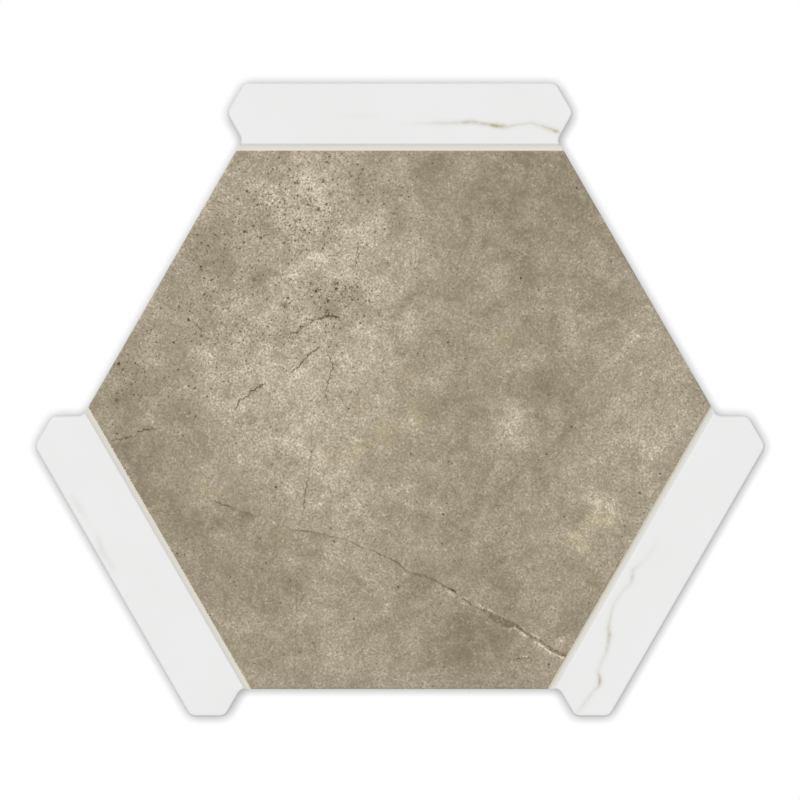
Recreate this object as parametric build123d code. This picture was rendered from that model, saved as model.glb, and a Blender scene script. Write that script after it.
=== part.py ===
from build123d import *
import os
from math import atan2, hypot, sqrt, tan

# Driving dimensions, in millimetres and degrees.

# Plan of the tile
field_half = 119.2            # centre of the tile to the field's edge beside a groove
free_edge_overhang = 4.1      # how much farther out the edges without a picket strip lie
picket_width = 27.5           # across a picket strip, from its groove to its outer edge
laying_joint = 2.0            # grout joint left between a tile and its neighbours
picket_corner_radius = 4.2    # tips and shoulders of a picket strip
notch_corner_radius = 4.4     # inner corners where a picket strip leaves the hexagon

# Section of the tile
thickness = 9.0
arris_radius = 0.8            # soft edge round each raised face
back_chamfer = 0.8            # bevel round the back, left by the press die

# Grooves that imitate the joint between the field and the picket strips
groove_width = 3.0            # at the face
groove_floor_width = 1.4
groove_depth = 0.6
groove_floor_radius = 0.4     # where the floor turns up into the walls

# Keying relief pressed into the back
relief_cell = 15.0            # across the flats of a pocket, at the back face
relief_rib = 3.0              # land between two pockets
relief_depth = 0.7
relief_draft = 35.0           # lean of the pocket walls
relief_border = 6.0           # plain band between the pockets and the edge of the back

# What follows from those sizes

# A picket strip lies along every second side of the hexagon, and the other sides are free.
free_edge_half = field_half + free_edge_overhang
picket_inner = field_half + groove_width
picket_outer = picket_inner + picket_width
picket_middle = (picket_inner + picket_outer) / 2

# The tiles interlock at a pitch of picket_outer + free_edge_half + laying_joint, and the tips of three
# strips come together one joint apart.
tip_half_length = (picket_outer + free_edge_half - laying_joint) / (2 * sqrt(3))
shoulder_half_length = tip_half_length - picket_width / (2 * sqrt(3))

# The end of a strip slants back from its tip until it meets the free edge, at the notch corner.
notch_drop = (sqrt(3) * tip_half_length + picket_middle) / 2 - free_edge_half
notch_half_length = tip_half_length - notch_drop / sqrt(3)
notch_height = picket_middle - notch_drop

# A groove's walls lean, and the roundings at a wall's top and foot each take less than half of it.
groove_wall_run = (groove_width - groove_floor_width) / 2
groove_wall_lean = atan2(groove_depth, groove_wall_run)
groove_rounding_limit = 0.45 * hypot(groove_depth, groove_wall_run) / tan(groove_wall_lean / 2)

# The tile repeats itself after each third of a turn.
strip_turns = [0, 120, 240]


def tile_plan():
    # Half of the upper strip's outline, mirrored and then turned to the other two strips.
    right_end = [
        Vector(notch_half_length, notch_height),
        Vector(tip_half_length, picket_middle),
        Vector(shoulder_half_length, picket_outer),
    ]
    left_end = [Vector(-corner.X, corner.Y) for corner in reversed(right_end)]
    corners = [corner.rotate(Axis.Z, turn) for turn in strip_turns for corner in right_end + left_end]
    plan = make_face(Polyline(*corners, close=True))

    # The notch corners are the nearest to the centre, and the strips' tips and shoulders the farthest.
    notch_corners = plan.vertices().sort_by_distance((0, 0, 0))[: 2 * len(strip_turns)]
    plan = fillet(notch_corners, notch_corner_radius)
    strip_corners = plan.vertices().sort_by_distance((0, 0, 0))[-4 * len(strip_turns) :]
    return fillet(strip_corners, picket_corner_radius)


def groove_cutters():
    # Shallow grooves with leaning walls, long enough to run out at both ends of each strip. A cutter has
    # arms that lie on the face, so that the rims of the groove are rounded in its section.
    middle = field_half + groove_width / 2
    floor = thickness - groove_depth
    right_half = [
        (groove_floor_width / 2, floor),
        (groove_width / 2, thickness),
        (groove_width, thickness),
        (groove_width, thickness + groove_depth),
    ]
    right_side = [(middle + across, height) for across, height in right_half]
    left_side = [(middle - across, height) for across, height in reversed(right_half)]
    section = make_face(Polyline(*right_side, *left_side, close=True))

    # The rims lie nearer to the groove's middle than the ends of the arms.
    rims = section.vertices().group_by(Axis.Y)[1].sort_by_distance((middle, thickness))[:2]
    section = fillet(rims, min(arris_radius, groove_rounding_limit))
    floor_corners = section.vertices().group_by(Axis.Y)[0]
    section = fillet(floor_corners, min(groove_floor_radius, groove_rounding_limit))
    cutter = extrude(Plane.YZ * section, amount=tip_half_length, both=True)
    return [Rot(0, 0, turn) * cutter for turn in strip_turns]


def pressed_body(plan):
    # The die leaves a bevel round the back and a soft edge round the face, and presses the grooves.
    body = extrude(plan, amount=thickness)
    back_face = body.faces().sort_by(Axis.Z)[0]
    body = chamfer(back_face.edges(), back_chamfer)
    upper_face = body.faces().sort_by(Axis.Z)[-1]
    body = fillet(upper_face.edges(), arris_radius)
    return body - groove_cutters()


def relief_pockets(plan):
    # Honeycomb cells about a rib junction at the centre, kept where a whole cell clears the border.
    pitch = relief_cell + relief_rib
    row_height = pitch * sqrt(3) / 2
    reach = int(tip_half_length * 2 / row_height) + 2
    limit = offset(plan, -back_chamfer - relief_border).face()
    cell = RegularPolygon(relief_cell / sqrt(3), 6, rotation=30)
    pocket = extrude(cell, amount=relief_depth, taper=relief_draft)
    pockets = []
    for row in range(-reach, reach + 1):
        for column in range(-reach, reach + 1):
            x = (column + row % 2 / 2 + 1 / 2) * pitch
            y = row * row_height + pitch / (2 * sqrt(3))
            corners = (Pos(x, y) * cell).vertices()
            if all(limit.is_inside(Vector(corner)) for corner in corners):
                pockets.append(Pos(x, y) * pocket)
    return pockets


plan = tile_plan()
pockets = relief_pockets(plan)
tile = pressed_body(plan) - pockets
tile.label = "tile"
print("tile", tile.bounding_box().size, "volume", round(tile.volume), "back pockets", len(pockets))

os.makedirs("parts", exist_ok=True)
export_step(tile, "parts/tile.step")
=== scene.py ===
import math
from functools import partial

import bmesh
import bpy
import numpy as np
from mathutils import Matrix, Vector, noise
from mathutils.geometry import delaunay_2d_cdt
from mathutils.kdtree import KDTree


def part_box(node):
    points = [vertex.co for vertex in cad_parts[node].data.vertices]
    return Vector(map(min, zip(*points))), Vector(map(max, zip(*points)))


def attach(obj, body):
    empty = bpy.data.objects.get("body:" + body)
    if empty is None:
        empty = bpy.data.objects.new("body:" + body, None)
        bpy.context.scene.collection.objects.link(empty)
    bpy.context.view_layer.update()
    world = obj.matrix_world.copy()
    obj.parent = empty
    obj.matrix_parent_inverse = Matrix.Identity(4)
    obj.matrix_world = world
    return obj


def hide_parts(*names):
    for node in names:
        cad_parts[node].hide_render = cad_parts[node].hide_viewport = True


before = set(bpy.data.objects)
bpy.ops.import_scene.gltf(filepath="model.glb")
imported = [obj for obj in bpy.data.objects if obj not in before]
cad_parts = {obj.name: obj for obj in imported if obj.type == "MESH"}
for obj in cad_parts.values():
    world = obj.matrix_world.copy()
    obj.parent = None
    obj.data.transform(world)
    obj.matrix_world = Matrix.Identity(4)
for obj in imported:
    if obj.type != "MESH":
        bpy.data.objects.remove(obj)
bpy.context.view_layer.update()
tileLow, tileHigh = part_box("tile")
mm = 0.001  # the frame is in metres, every size below is in millimetres
weld = 0.005  # points closer than this become one
root3 = math.sqrt(3)
print("frame loaded, tile box", tuple(tileLow), tuple(tileHigh))


# Plan: a hexagon with a picket strip along every other side, pressed as one tile
plan = {
    "fieldHalf": 119.2,  # centre to the stone field's edge beside a groove
    "freeEdgeHalf": 123.3,  # centre to an edge that has no strip
    "grooveWidth": 3.0,
    "layingJoint": 2.0,  # left between the tips of neighbouring tiles
    "stripCornerRadius": 4.2,
    "notchCornerRadius": 4.4,
    "printShift": (-0.32, -0.45),  # how far the stone print sits off the pressed grooves
    "runStep": 1.1,  # point spacing on the straight runs
    "arcStep": 0.5,  # and round the corners
}
thickness = tileHigh[2] / mm
stripOuter = tileHigh[1] / mm
stripInner = plan["fieldHalf"] + plan["grooveWidth"]
tipReach = 1.15 * stripOuter  # a little past the tips of the strips
stripTurns = (0, 120, 240)
stripAngles = [math.radians(90 + turn) for turn in stripTurns]
stripNormals = np.array([(math.cos(angle), math.sin(angle)) for angle in stripAngles])


def planCorners():
    middle = (stripInner + stripOuter) / 2
    tip = (stripOuter + plan["freeEdgeHalf"] - plan["layingJoint"]) / (2 * root3)
    shoulder = tip - (stripOuter - stripInner) / (2 * root3)
    drop = (root3 * tip + middle) / 2 - plan["freeEdgeHalf"]  # from the tip back to the notch corner
    rightEnd = [
        (tip - drop / root3, middle - drop, plan["notchCornerRadius"]),
        (tip, middle, plan["stripCornerRadius"]),
        (shoulder, stripOuter, plan["stripCornerRadius"]),
    ]
    leftEnd = [(-x, y, radius) for x, y, radius in reversed(rightEnd)]
    corners = []
    for turn in stripTurns:
        c, s = math.cos(math.radians(turn)), math.sin(math.radians(turn))
        corners += [(x * c - y * s, x * s + y * c, radius) for x, y, radius in rightEnd + leftEnd]
    return corners


def outlineRing(inset):
    # the outline moved inwards, with as many points for every inset
    corners = planCorners()
    arcs = []
    for index, (x, y, radius) in enumerate(corners):
        here = np.array((x, y))
        arrive = here - np.array(corners[index - 1][:2])
        leave = np.array(corners[(index + 1) % len(corners)][:2]) - here
        arrive /= np.linalg.norm(arrive)
        leave /= np.linalg.norm(leave)
        turn = math.atan2(arrive[0] * leave[1] - arrive[1] * leave[0], arrive @ leave)
        side = math.copysign(1, turn)  # +1 on an outer corner, -1 on a notch
        leftOf = np.array((-arrive[1], arrive[0]))
        centre = here - arrive * radius * math.tan(abs(turn) / 2) + side * radius * leftOf
        start = math.atan2(-side * leftOf[1], -side * leftOf[0])
        steps = math.ceil(abs(turn) * radius / plan["arcStep"])
        angles = start + turn * np.linspace(0, 1, steps + 1)
        arcs.append(centre + (radius - side * inset) * np.stack((np.cos(angles), np.sin(angles)), 1))
    ring = []
    for index, arc in enumerate(arcs):
        target = arcs[(index + 1) % len(arcs)][0]
        length = np.linalg.norm(target - arc[-1])
        steps = math.ceil(round(length / plan["runStep"], 3))
        along = np.linspace(0, 1, steps + 1)[1:-1, None]
        ring += [arc, arc[-1] + (target - arc[-1]) * along]
    return np.concatenate(ring)


outline = outlineRing(0)
outlineTree = KDTree(len(outline))
for number, (x, y) in enumerate(outline):
    outlineTree.insert((x, y, 0), number)
outlineTree.balance()


def nearestOnOutline(points):
    # depth inside the outline, and the nearest place on it as point number plus fraction
    closest = np.array([outlineTree.find((x, y, 0))[1] for x, y in points])
    depth = np.full(len(points), np.inf)
    place = np.zeros(len(points))
    for start in ((closest - 1) % len(outline), closest):
        run = outline[(start + 1) % len(outline)] - outline[start]
        offset = points - outline[start]
        share = np.clip((offset * run).sum(1) / (run**2).sum(1), 0, 1)
        offset = offset - share[:, None] * run
        gap = np.hypot(offset[:, 0], offset[:, 1])
        side = np.where(run[:, 0] * offset[:, 1] < run[:, 1] * offset[:, 0], -1, 1)
        closer = gap < np.abs(depth)
        depth = np.where(closer, gap * side, depth)
        place = np.where(closer, start + share, place)
    return depth, place


# Section: soft arris round each raised face, and the shallow groove that imitates a grout joint
section = {
    "arrisRadius": 0.8,
    "arrisSteps": 5,
    "grooveDepth": 0.6,
    "grooveFloorWidth": 1.4,
    "grooveFloorRadius": 0.4,
    "grooveFloorSteps": 3,
    "backChamfer": 0.8,
}


def grooveProfile():
    # distance from the centre and height, across one groove
    middle = (plan["fieldHalf"] + stripInner) / 2
    wallRun = (plan["grooveWidth"] - section["grooveFloorWidth"]) / 2
    lean = math.atan2(section["grooveDepth"], wallRun)
    floor = thickness - section["grooveDepth"]
    rim = section["arrisRadius"]
    foot = section["grooveFloorRadius"]
    rimStart = plan["fieldHalf"] - rim * math.tan(lean / 2)
    footEnd = plan["fieldHalf"] + wallRun + foot * math.tan(lean / 2)
    half = []
    for angle in np.linspace(0, lean, section["arrisSteps"] + 1):
        half.append((rimStart + rim * math.sin(angle), thickness - rim + rim * math.cos(angle)))
    for angle in np.linspace(lean, 0, section["grooveFloorSteps"] + 1):
        half.append((footEnd - foot * math.sin(angle), floor + foot - foot * math.cos(angle)))
    return np.array(half + [(2 * middle - a, z) for a, z in reversed(half)])


groove = grooveProfile()

# The long crack across the stone: x, y, half width, darkness in grey levels, and shade on its lower side
longCrack = [
    (-83.7, -38.5, 0.10, 16, 4), (-81.5, -39.7, 0.24, 44, 8), (-78.8, -40.6, 0.28, 48, 8),
    (-76.5, -41.2, 0.24, 40, 10), (-73.6, -42.5, 0.16, 22, 12), (-69.1, -44.1, 0.14, 18, 14),
    (-66.2, -45.1, 0.14, 16, 14), (-61.7, -45.6, 0.10, 12, 8), (-57.2, -48.6, 0.06, 3, 0),
    (-51.0, -51.2, 0.08, 5, 2), (-45.2, -52.2, 0.26, 40, 6), (-41.5, -52.4, 0.26, 40, 12),
    (-39.2, -52.8, 0.18, 20, 16), (-34.9, -53.6, 0.18, 18, 17), (-31.2, -54.7, 0.18, 20, 17),
    (-27.5, -55.2, 0.18, 18, 14), (-24.8, -55.8, 0.16, 14, 8), (-21.2, -57.6, 0.22, 36, 4),
    (-17.4, -59.5, 0.22, 36, 4), (-14.4, -60.0, 0.18, 18, 4), (-11.4, -61.6, 0.24, 38, 6),
    (-6.2, -64.0, 0.26, 42, 7), (-2.5, -65.7, 0.28, 42, 8), (-0.2, -67.2, 0.30, 38, 8),
    (2.4, -69.6, 0.45, 28, 6), (3.9, -70.9, 0.45, 24, 6), (7.5, -71.8, 0.55, 20, 9),
    (11.2, -72.5, 0.60, 20, 9), (15.7, -74.5, 0.55, 24, 7), (18.7, -76.4, 0.40, 30, 4),
    (20.7, -77.5, 0.32, 48, 0), (22.3, -78.0, 0.36, 56, -3), (24.8, -79.6, 0.46, 72, -3),
    (25.5, -81.2, 0.22, 20, 0), (27.2, -82.0, 0.12, 4, 0), (28.5, -83.0, 0.28, 40, 0),
    (31.0, -84.2, 0.26, 30, 0), (32.4, -85.4, 0.14, 6, 0), (34.4, -86.8, 0.26, 26, 0),
    (36.3, -87.2, 0.22, 12, 0), (38.1, -87.9, 0.60, 26, 2),
    (40.3, -89.8, 1.30, 22, 3), (42.9, -91.4, 1.80, 23, 2), (47.2, -93.6, 1.85, 23, 0),
    (51.6, -94.7, 1.10, 26, -2), (53.1, -95.2, 0.60, 44, -6), (55.0, -97.0, 0.42, 44, -8),
    (58.0, -99.0, 0.42, 42, -8), (59.9, -100.3, 0.46, 44, -8), (62.8, -101.6, 0.52, 44, -9),
    (66.6, -104.4, 0.72, 46, -10), (68.4, -105.8, 0.76, 46, -10), (72.5, -107.6, 0.74, 46, -10),
    (75.2, -108.8, 0.68, 44, -8),
]

# Broken light rims beside the long crack: x, y, half width, grey levels
crackRims = [
    [(-60.0, -46.4, 0.3, 26), (-57.6, -47.9, 0.3, 28), (-55.4, -49.8, 0.3, 18)],
    [(-60.2, -46.6, 0.3, 22), (-62.8, -49.8, 0.3, 22), (-64.4, -53.1, 0.3, 12)],
    [(1.4, -71.2, 0.6, 18), (3.4, -72.6, 0.6, 22)],
    [(21.2, -79.2, 0.4, 40), (22.6, -80.0, 0.7, 44), (23.8, -80.8, 0.7, 50), (24.7, -82.0, 0.4, 28)],
    [(27.2, -84.0, 0.5, 40), (28.6, -84.9, 0.5, 40), (29.8, -85.6, 0.4, 20)],
    [(28.8, -82.0, 0.4, 30), (30.1, -83.0, 0.5, 42), (31.4, -82.2, 0.4, 24)],
    [(34.8, -85.7, 0.5, 42), (36.2, -86.0, 0.5, 52), (37.4, -86.9, 0.5, 44)],
    [(39.1, -87.1, 0.4, 36), (41.2, -88.4, 0.5, 42), (42.8, -89.4, 0.5, 38)],
    [(34.4, -88.6, 0.5, 22), (35.4, -89.6, 0.6, 26)],
    [(45.6, -95.4, 0.4, 24), (48.0, -96.2, 0.4, 36), (50.4, -96.4, 0.4, 30)],
    [(51.0, -95.6, 0.4, 36), (53.4, -97.2, 0.5, 46), (55.6, -98.9, 0.6, 54), (57.2, -100.2, 0.4, 34)],
    [(57.6, -97.6, 0.4, 26), (60.0, -98.9, 0.4, 34), (62.8, -100.4, 0.4, 26)],
    [(60.4, -102.0, 0.4, 26), (63.8, -103.8, 0.4, 36), (67.0, -106.2, 0.5, 44), (70.0, -108.0, 0.5, 44),
     (73.6, -109.6, 0.4, 40)],
    [(54.9, -108.9, 0.4, 34), (57.6, -108.7, 0.4, 44)],
    [(58.6, -112.2, 0.4, 30), (58.8, -113.6, 0.4, 40)],
]

# Hair cracks: x, y, half width, darkness in grey levels
hairCracks = [
    [(-38.9, 1.6, 0.14, 22), (-39.6, -9.0, 0.16, 32), (-40.7, -24.8, 0.18, 42), (-41.9, -32.2, 0.20, 48),
     (-43.4, -39.6, 0.20, 48), (-43.7, -46.8, 0.18, 36), (-44.3, -48.6, 0.14, 22)],
    [(-45.9, -69.8, 0.12, 8), (-46.5, -80.1, 0.16, 18), (-46.8, -99.0, 0.16, 20),
     (-47.3, -116.6, 0.14, 16)],
    [(-50.4, 35.1, 0.22, 46), (-43.0, 40.0, 0.22, 50), (-36.0, 43.6, 0.24, 60), (-29.7, 46.4, 0.18, 36)],
    [(-49.5, 18.9, 0.26, 64), (-46.0, 21.0, 0.34, 90), (-44.6, 23.0, 0.30, 84), (-42.8, 25.6, 0.30, 80),
     (-40.0, 27.4, 0.24, 60), (-36.0, 31.1, 0.22, 50)],
    [(-74.3, 2.7, 0.26, 50), (-71.6, 6.6, 0.34, 70), (-69.0, 8.4, 0.30, 62), (-65.7, 11.3, 0.34, 70),
     (-60.3, 14.2, 0.26, 50)],
    [(-72.5, 15.8, 0.18, 34), (-66.6, 20.3, 0.18, 40)],
    [(-92.3, 40.5, 0.24, 50), (-89.2, 38.6, 0.28, 64), (-89.6, 36.4, 0.18, 36)],
    [(-84.2, 38.7, 0.22, 50), (-81.5, 35.1, 0.20, 40)],
    [(-18.6, 78.0, 0.20, 40), (-19.1, 71.2, 0.26, 64), (-20.4, 66.4, 0.20, 44)],
    [(-36.0, 42.9, 0.30, 62), (-31.2, 45.2, 0.40, 80), (-26.1, 42.7, 0.28, 62)],
    [(-33.3, 47.2, 0.26, 54), (-29.6, 44.1, 0.26, 54)],
    [(-33.3, 27.0, 0.20, 50), (-30.8, 24.3, 0.24, 66), (-29.8, 22.8, 0.20, 50), (-31.0, 19.4, 0.24, 62),
     (-32.4, 14.9, 0.24, 56), (-33.8, 10.4, 0.22, 54), (-32.0, 5.9, 0.16, 30)],
    [(-27.0, 8.1, 0.16, 26), (-24.8, 5.0, 0.20, 38), (-22.5, 1.4, 0.16, 26)],
    [(-19.2, 9.6, 0.16, 30), (-18.1, 5.9, 0.18, 36)],
    [(-131.0, -11.6, 0.22, 28), (-125.1, -11.0, 0.26, 34), (-119.6, -9.4, 0.24, 32),
     (-117.0, -7.4, 0.30, 42), (-112.4, -6.2, 0.32, 44), (-107.8, -6.0, 0.22, 26)],
    [(-111.2, -44.0, 0.16, 22), (-107.4, -43.2, 0.20, 32), (-104.8, -43.8, 0.16, 18),
     (-101.4, -43.2, 0.18, 28)],
    [(47.5, -112.3, 0.18, 22), (50.0, -110.5, 0.22, 34), (53.1, -109.6, 0.26, 40), (57.6, -109.3, 0.26, 40),
     (59.0, -110.0, 0.20, 34), (58.7, -113.4, 0.16, 20)],
]

# The larger pits: x, y, radius, darkness in grey levels
pits = [
    (-41.1, 101.5, 0.9, 60), (-31.2, 99.5, 1.0, 60), (-40.3, 96.8, 0.6, 55), (-21.8, 107.4, 0.7, 45),
    (-13.3, 107.9, 0.6, 40), (-48.9, 93.7, 0.8, 55), (-57.4, 95.0, 0.6, 50), (-65.9, 96.5, 0.6, 50),
    (-42.8, 83.2, 0.7, 55), (-40.5, 84.6, 0.5, 40), (-40.0, 59.7, 0.7, 50), (-37.1, 56.3, 0.8, 50),
    (-29.1, 59.1, 1.3, 30), (-51.8, 49.3, 1.3, 45), (-73.5, 40.8, 0.7, 50), (-9.3, 45.3, 1.0, 40),
    (-33.1, 46.8, 0.7, 50), (-63.9, 55.2, 0.6, 40), (-22.1, 57.2, 0.9, 40), (-16.2, 75.2, 0.7, 35),
    (-5.6, 68.4, 0.7, 35), (-25.9, 96.0, 0.7, 40), (-58.7, 90.5, 0.7, 40), (-45.0, -106.6, 0.8, 45),
    (-40.5, -107.5, 0.6, 40), (-39.2, -102.6, 0.6, 40), (67.0, -112.4, 0.6, 50), (-31.2, -51.1, 0.7, 40),
    (-63.2, -55.5, 0.9, 40), (-92.0, -0.8, 0.7, 50), (-127.6, 6.6, 0.7, 40), (-78.0, 34.0, 0.6, 40),
]

# Veins of the white strips: x, y, half width, strength, and how gold the grey turns
veins = [
    [(0.9, 131.0, 0.20, 0.05, 0.0), (10.8, 131.4, 0.20, 0.2, 0.0), (21.6, 131.4, 0.25, 0.5, 0.1),
     (27.0, 131.6, 0.40, 0.5, 0.4), (32.4, 131.8, 0.50, 0.55, 0.7), (37.8, 131.0, 0.50, 0.55, 0.9),
     (43.2, 130.2, 0.60, 0.75, 1.0), (45.9, 130.0, 0.60, 0.7, 1.0), (48.6, 129.7, 0.35, 0.4, 0.8),
     (54.0, 131.0, 0.25, 0.3, 0.5), (59.4, 131.2, 0.25, 0.3, 0.5), (64.8, 129.6, 0.35, 0.4, 0.7),
     (70.2, 127.8, 0.55, 0.6, 1.0), (72.0, 127.2, 0.30, 0.3, 1.0)],
    [(115.7, -57.2, 0.25, 0.05, 0.0), (111.6, -63.5, 0.25, 0.15, 0.0), (108.0, -67.1, 0.25, 0.2, 0.0),
     (104.9, -69.8, 0.25, 0.4, 0.2), (104.4, -72.9, 0.35, 0.7, 0.3), (104.0, -75.6, 0.25, 0.3, 0.2),
     (99.5, -80.1, 0.20, 0.22, 0.1), (96.3, -84.6, 0.20, 0.3, 0.3), (94.5, -90.9, 0.25, 0.4, 0.4),
     (93.8, -95.9, 0.30, 0.5, 0.6), (94.1, -99.0, 0.35, 0.7, 0.6), (93.6, -102.6, 0.35, 0.7, 0.6),
     (92.7, -106.7, 0.20, 0.36, 0.4), (90.9, -110.7, 0.20, 0.28, 0.2), (89.1, -115.2, 0.25, 0.36, 0.3),
     (90.0, -119.7, 0.45, 0.8, 0.8), (89.1, -122.4, 0.30, 0.4, 0.7), (86.4, -124.7, 0.20, 0.24, 0.4),
     (84.6, -127.8, 0.20, 0.32, 0.5), (79.6, -134.6, 0.20, 0.2, 0.4)],
]

# Veins that are only a faint shade: no line of their own, so their half width lies below zero
veinShades = [
    [(-25.6, 134.1, -0.6, 0.1, 0.0), (-16.2, 134.8, -0.6, 0.2, 0.0), (-10.4, 134.6, -0.6, 0.1, 0.0)],
    [(-148.8, -34.6, -0.6, 0.0, 0.1), (-147.6, -36.9, -0.6, 0.3, 0.1), (-144.0, -41.9, -0.6, 0.5, 0.2),
     (-141.3, -46.8, -0.6, 0.15, 0.1), (-137.6, -52.4, -0.6, 0.1, 0.3), (-135.5, -56.3, -0.6, 0.4, 0.5),
     (-134.0, -62.0, -0.6, 0.5, 0.5), (-131.0, -65.4, -0.6, 0.3, 0.2), (-129.2, -68.4, -0.6, 0.4, 0.1),
     (-127.4, -72.0, -0.6, 0.0, 0.1)],
]
farAway = 50.0


def strokeField(points, strokes):
    # signed distance to the nearest stroke, with that stroke's values there; no width past its ends
    distance = np.full(len(points), farAway)
    values = np.zeros((len(points), len(strokes[0][0]) - 2))
    values[:, 0] = -1
    for stroke in strokes:
        knots = np.array(stroke)
        for index in range(len(knots) - 1):
            start, end = knots[index], knots[index + 1]
            run = end[:2] - start[:2]
            share = (points - start[:2]) @ run / (run @ run)
            held = np.clip(share, 0, 1)
            offset = points - start[:2] - held[:, None] * run
            gap = np.hypot(offset[:, 0], offset[:, 1])
            side = np.where(run[0] * offset[:, 1] < run[1] * offset[:, 0], -1, 1)
            here = start[2:] + held[:, None] * (end[2:] - start[2:])
            past = (share < 0) & (index == 0) | (share > 1) & (index == len(knots) - 2)
            here[past, 0] = -1
            closer = gap < np.abs(distance)
            distance[closer] = (gap * side)[closer]
            values[closer] = here[closer]
    return distance, values


# The mesh of the face, finer beside cracks and pits
face = {
    "fieldStep": 1.15,  # triangles of the stone field
    "stripStep": 1.7,  # and of the white strips
    "fineStep": 0.45,  # and beside cracks and pits
    "clear": 0.5,  # kept between the points' lattices and the groove's lines
    "grooveReach": 0.55,  # half length of the groove's lines, as a share of stripOuter
    "crackBand": 2.8,
    "hairBand": 0.9,
    "pitBand": 1.6,
    "veinBand": 1.2,
    "crackDepth": 0.22,
    "hairDepth": 0.08,
    "crackSlope": 1.4,  # half widths from a crack's middle to the end of its slope
    "crackLeast": 0.15,  # half width of the narrowest crack that the mesh can show
    "crackDark": 50,  # grey levels at which a crack has its full depth
    "pitDepth": 0.15,
    "sharpAngle": 32.0,  # degrees, past which two faces meet in a crease
}


def lattice(step):
    # equilateral lattice over the whole tile
    rows = np.arange(-stripOuter, stripOuter, step * root3 / 2)
    columns = np.arange(-tipReach, tipReach, step)
    x, y = np.meshgrid(columns, rows)
    x[1::2] += step / 2
    return np.stack((x.ravel(), y.ravel()), 1)


def faceHeights(points):
    height = np.full(len(points), thickness)
    for normal in stripNormals:
        height = np.minimum(height, np.interp(points @ normal, groove[:, 0], groove[:, 1]))
    depth, place = nearestOnOutline(points)
    rim = section["arrisRadius"]
    short = np.clip(rim - depth, 0, rim)
    height = np.minimum(height, thickness - rim + np.sqrt(rim**2 - short**2))
    for strokes, deepest in (([longCrack], face["crackDepth"]), (hairCracks, face["hairDepth"])):
        distance, values = strokeField(points, strokes)
        halfWidth = np.maximum(values[:, 0], face["crackLeast"])
        sunk = np.clip(face["crackSlope"] - np.abs(distance) / halfWidth, 0, 1)
        height -= deepest * sunk * np.clip(values[:, 1] / face["crackDark"], 0, 1)
    for x, y, radius, _ in pits:
        away = np.hypot(points[:, 0] - x, points[:, 1] - y) / radius
        height -= face["pitDepth"] * np.exp(-(away**2))
    return height, depth, place


def isFine(points):
    fine = np.zeros(len(points), bool)
    for strokes, band in (([longCrack], "crackBand"), (hairCracks, "hairBand"), (veins, "veinBand")):
        fine |= np.abs(strokeField(points, strokes)[0]) < face[band]
    for x, y, *_ in pits:
        fine |= np.hypot(points[:, 0] - x, points[:, 1] - y) < face["pitBand"]
    return fine


def faceMesh():
    # constrained triangles: arris rings, groove lines, and lattices of points between them
    points = []
    edges = []
    count = 0
    for angle in np.linspace(0, math.pi / 2, section["arrisSteps"] + 1):
        ring = outlineRing(section["arrisRadius"] * (1 - math.sin(angle)))
        order = np.arange(len(ring))
        edges.append(count + np.stack((order, np.roll(order, -1)), 1))
        points.append(ring)
        count += len(ring)
    reach = stripOuter * face["grooveReach"]
    along = np.linspace(-reach, reach, round(2 * reach / plan["runStep"]))
    for normal in stripNormals:
        for distance in groove[:, 0]:
            line = distance * normal + along[:, None] * np.array((-normal[1], normal[0]))
            order = np.arange(len(line) - 1)
            edges.append(count + np.stack((order, order + 1), 1))
            points.append(line)
            count += len(line)

    lattices = []
    for step, onField, onStrips, fine in (
        ("fieldStep", True, False, False),
        ("stripStep", False, True, False),
        ("fineStep", True, True, True),
    ):
        between = lattice(face[step])
        across = (between @ stripNormals.T).max(1)
        inField = across < groove[0, 0] - face["clear"]
        inStrip = across > groove[-1, 0] + face["clear"]
        between = between[onField & inField | onStrips & inStrip]
        lattices.append(between[isFine(between) == fine])
    between = np.concatenate(lattices)
    between = between[nearestOnOutline(between)[0] > section["arrisRadius"]]
    points = np.concatenate(points + [between])
    edges = np.concatenate(edges)
    joined = delaunay_2d_cdt(points.tolist(), edges.tolist(), [], 1, 1e-5, False)
    return np.array([tuple(point) for point in joined[0]]), np.array(joined[2])


# The back: lands in a honeycomb between shallow pressed pockets
backRelief = {
    "cell": 15.0,  # across the flats, at the back face
    "rib": 3.0,
    "depth": 0.7,
    "draft": 35.0,  # degrees that the pocket walls lean
    "border": 6.0,  # plain band inside the chamfer
}


def addNode(tree, kind, sockets=None, **settings):
    # a socket takes a constant, another socket, or a node's first output; a list gives it several links
    node = tree.nodes.new(kind)
    for name, value in settings.items():
        setattr(node, name, value)
    for name, value in (sockets or {}).items():
        for source in value if isinstance(value, list) else [value]:
            if isinstance(source, bpy.types.Node):
                source = source.outputs[0]
            if isinstance(source, bpy.types.NodeSocket):
                tree.links.new(source, node.inputs[name])
            else:
                node.inputs[name].default_value = source
    return node


def pocketCentres():
    pitch = backRelief["cell"] + backRelief["rib"]
    rowHeight = pitch * root3 / 2
    reach = int(tipReach / rowHeight) + 1
    angles = np.radians(30 + 60 * np.arange(6))
    hexagon = backRelief["cell"] / root3 * np.stack((np.cos(angles), np.sin(angles)), 1)
    centres = []
    for row in range(-reach, reach + 1):
        for column in range(-reach, reach + 1):
            x = (column + row % 2 / 2 + 1 / 2) * pitch
            centres.append((x, row * rowHeight + pitch / (2 * root3)))
    centres = np.array(centres)
    corners = (centres[:, None] + hexagon).reshape(-1, 2)
    depth = nearestOnOutline(corners)[0].reshape(-1, 6).min(1)
    return centres[depth > section["backChamfer"] + backRelief["border"]]


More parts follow.
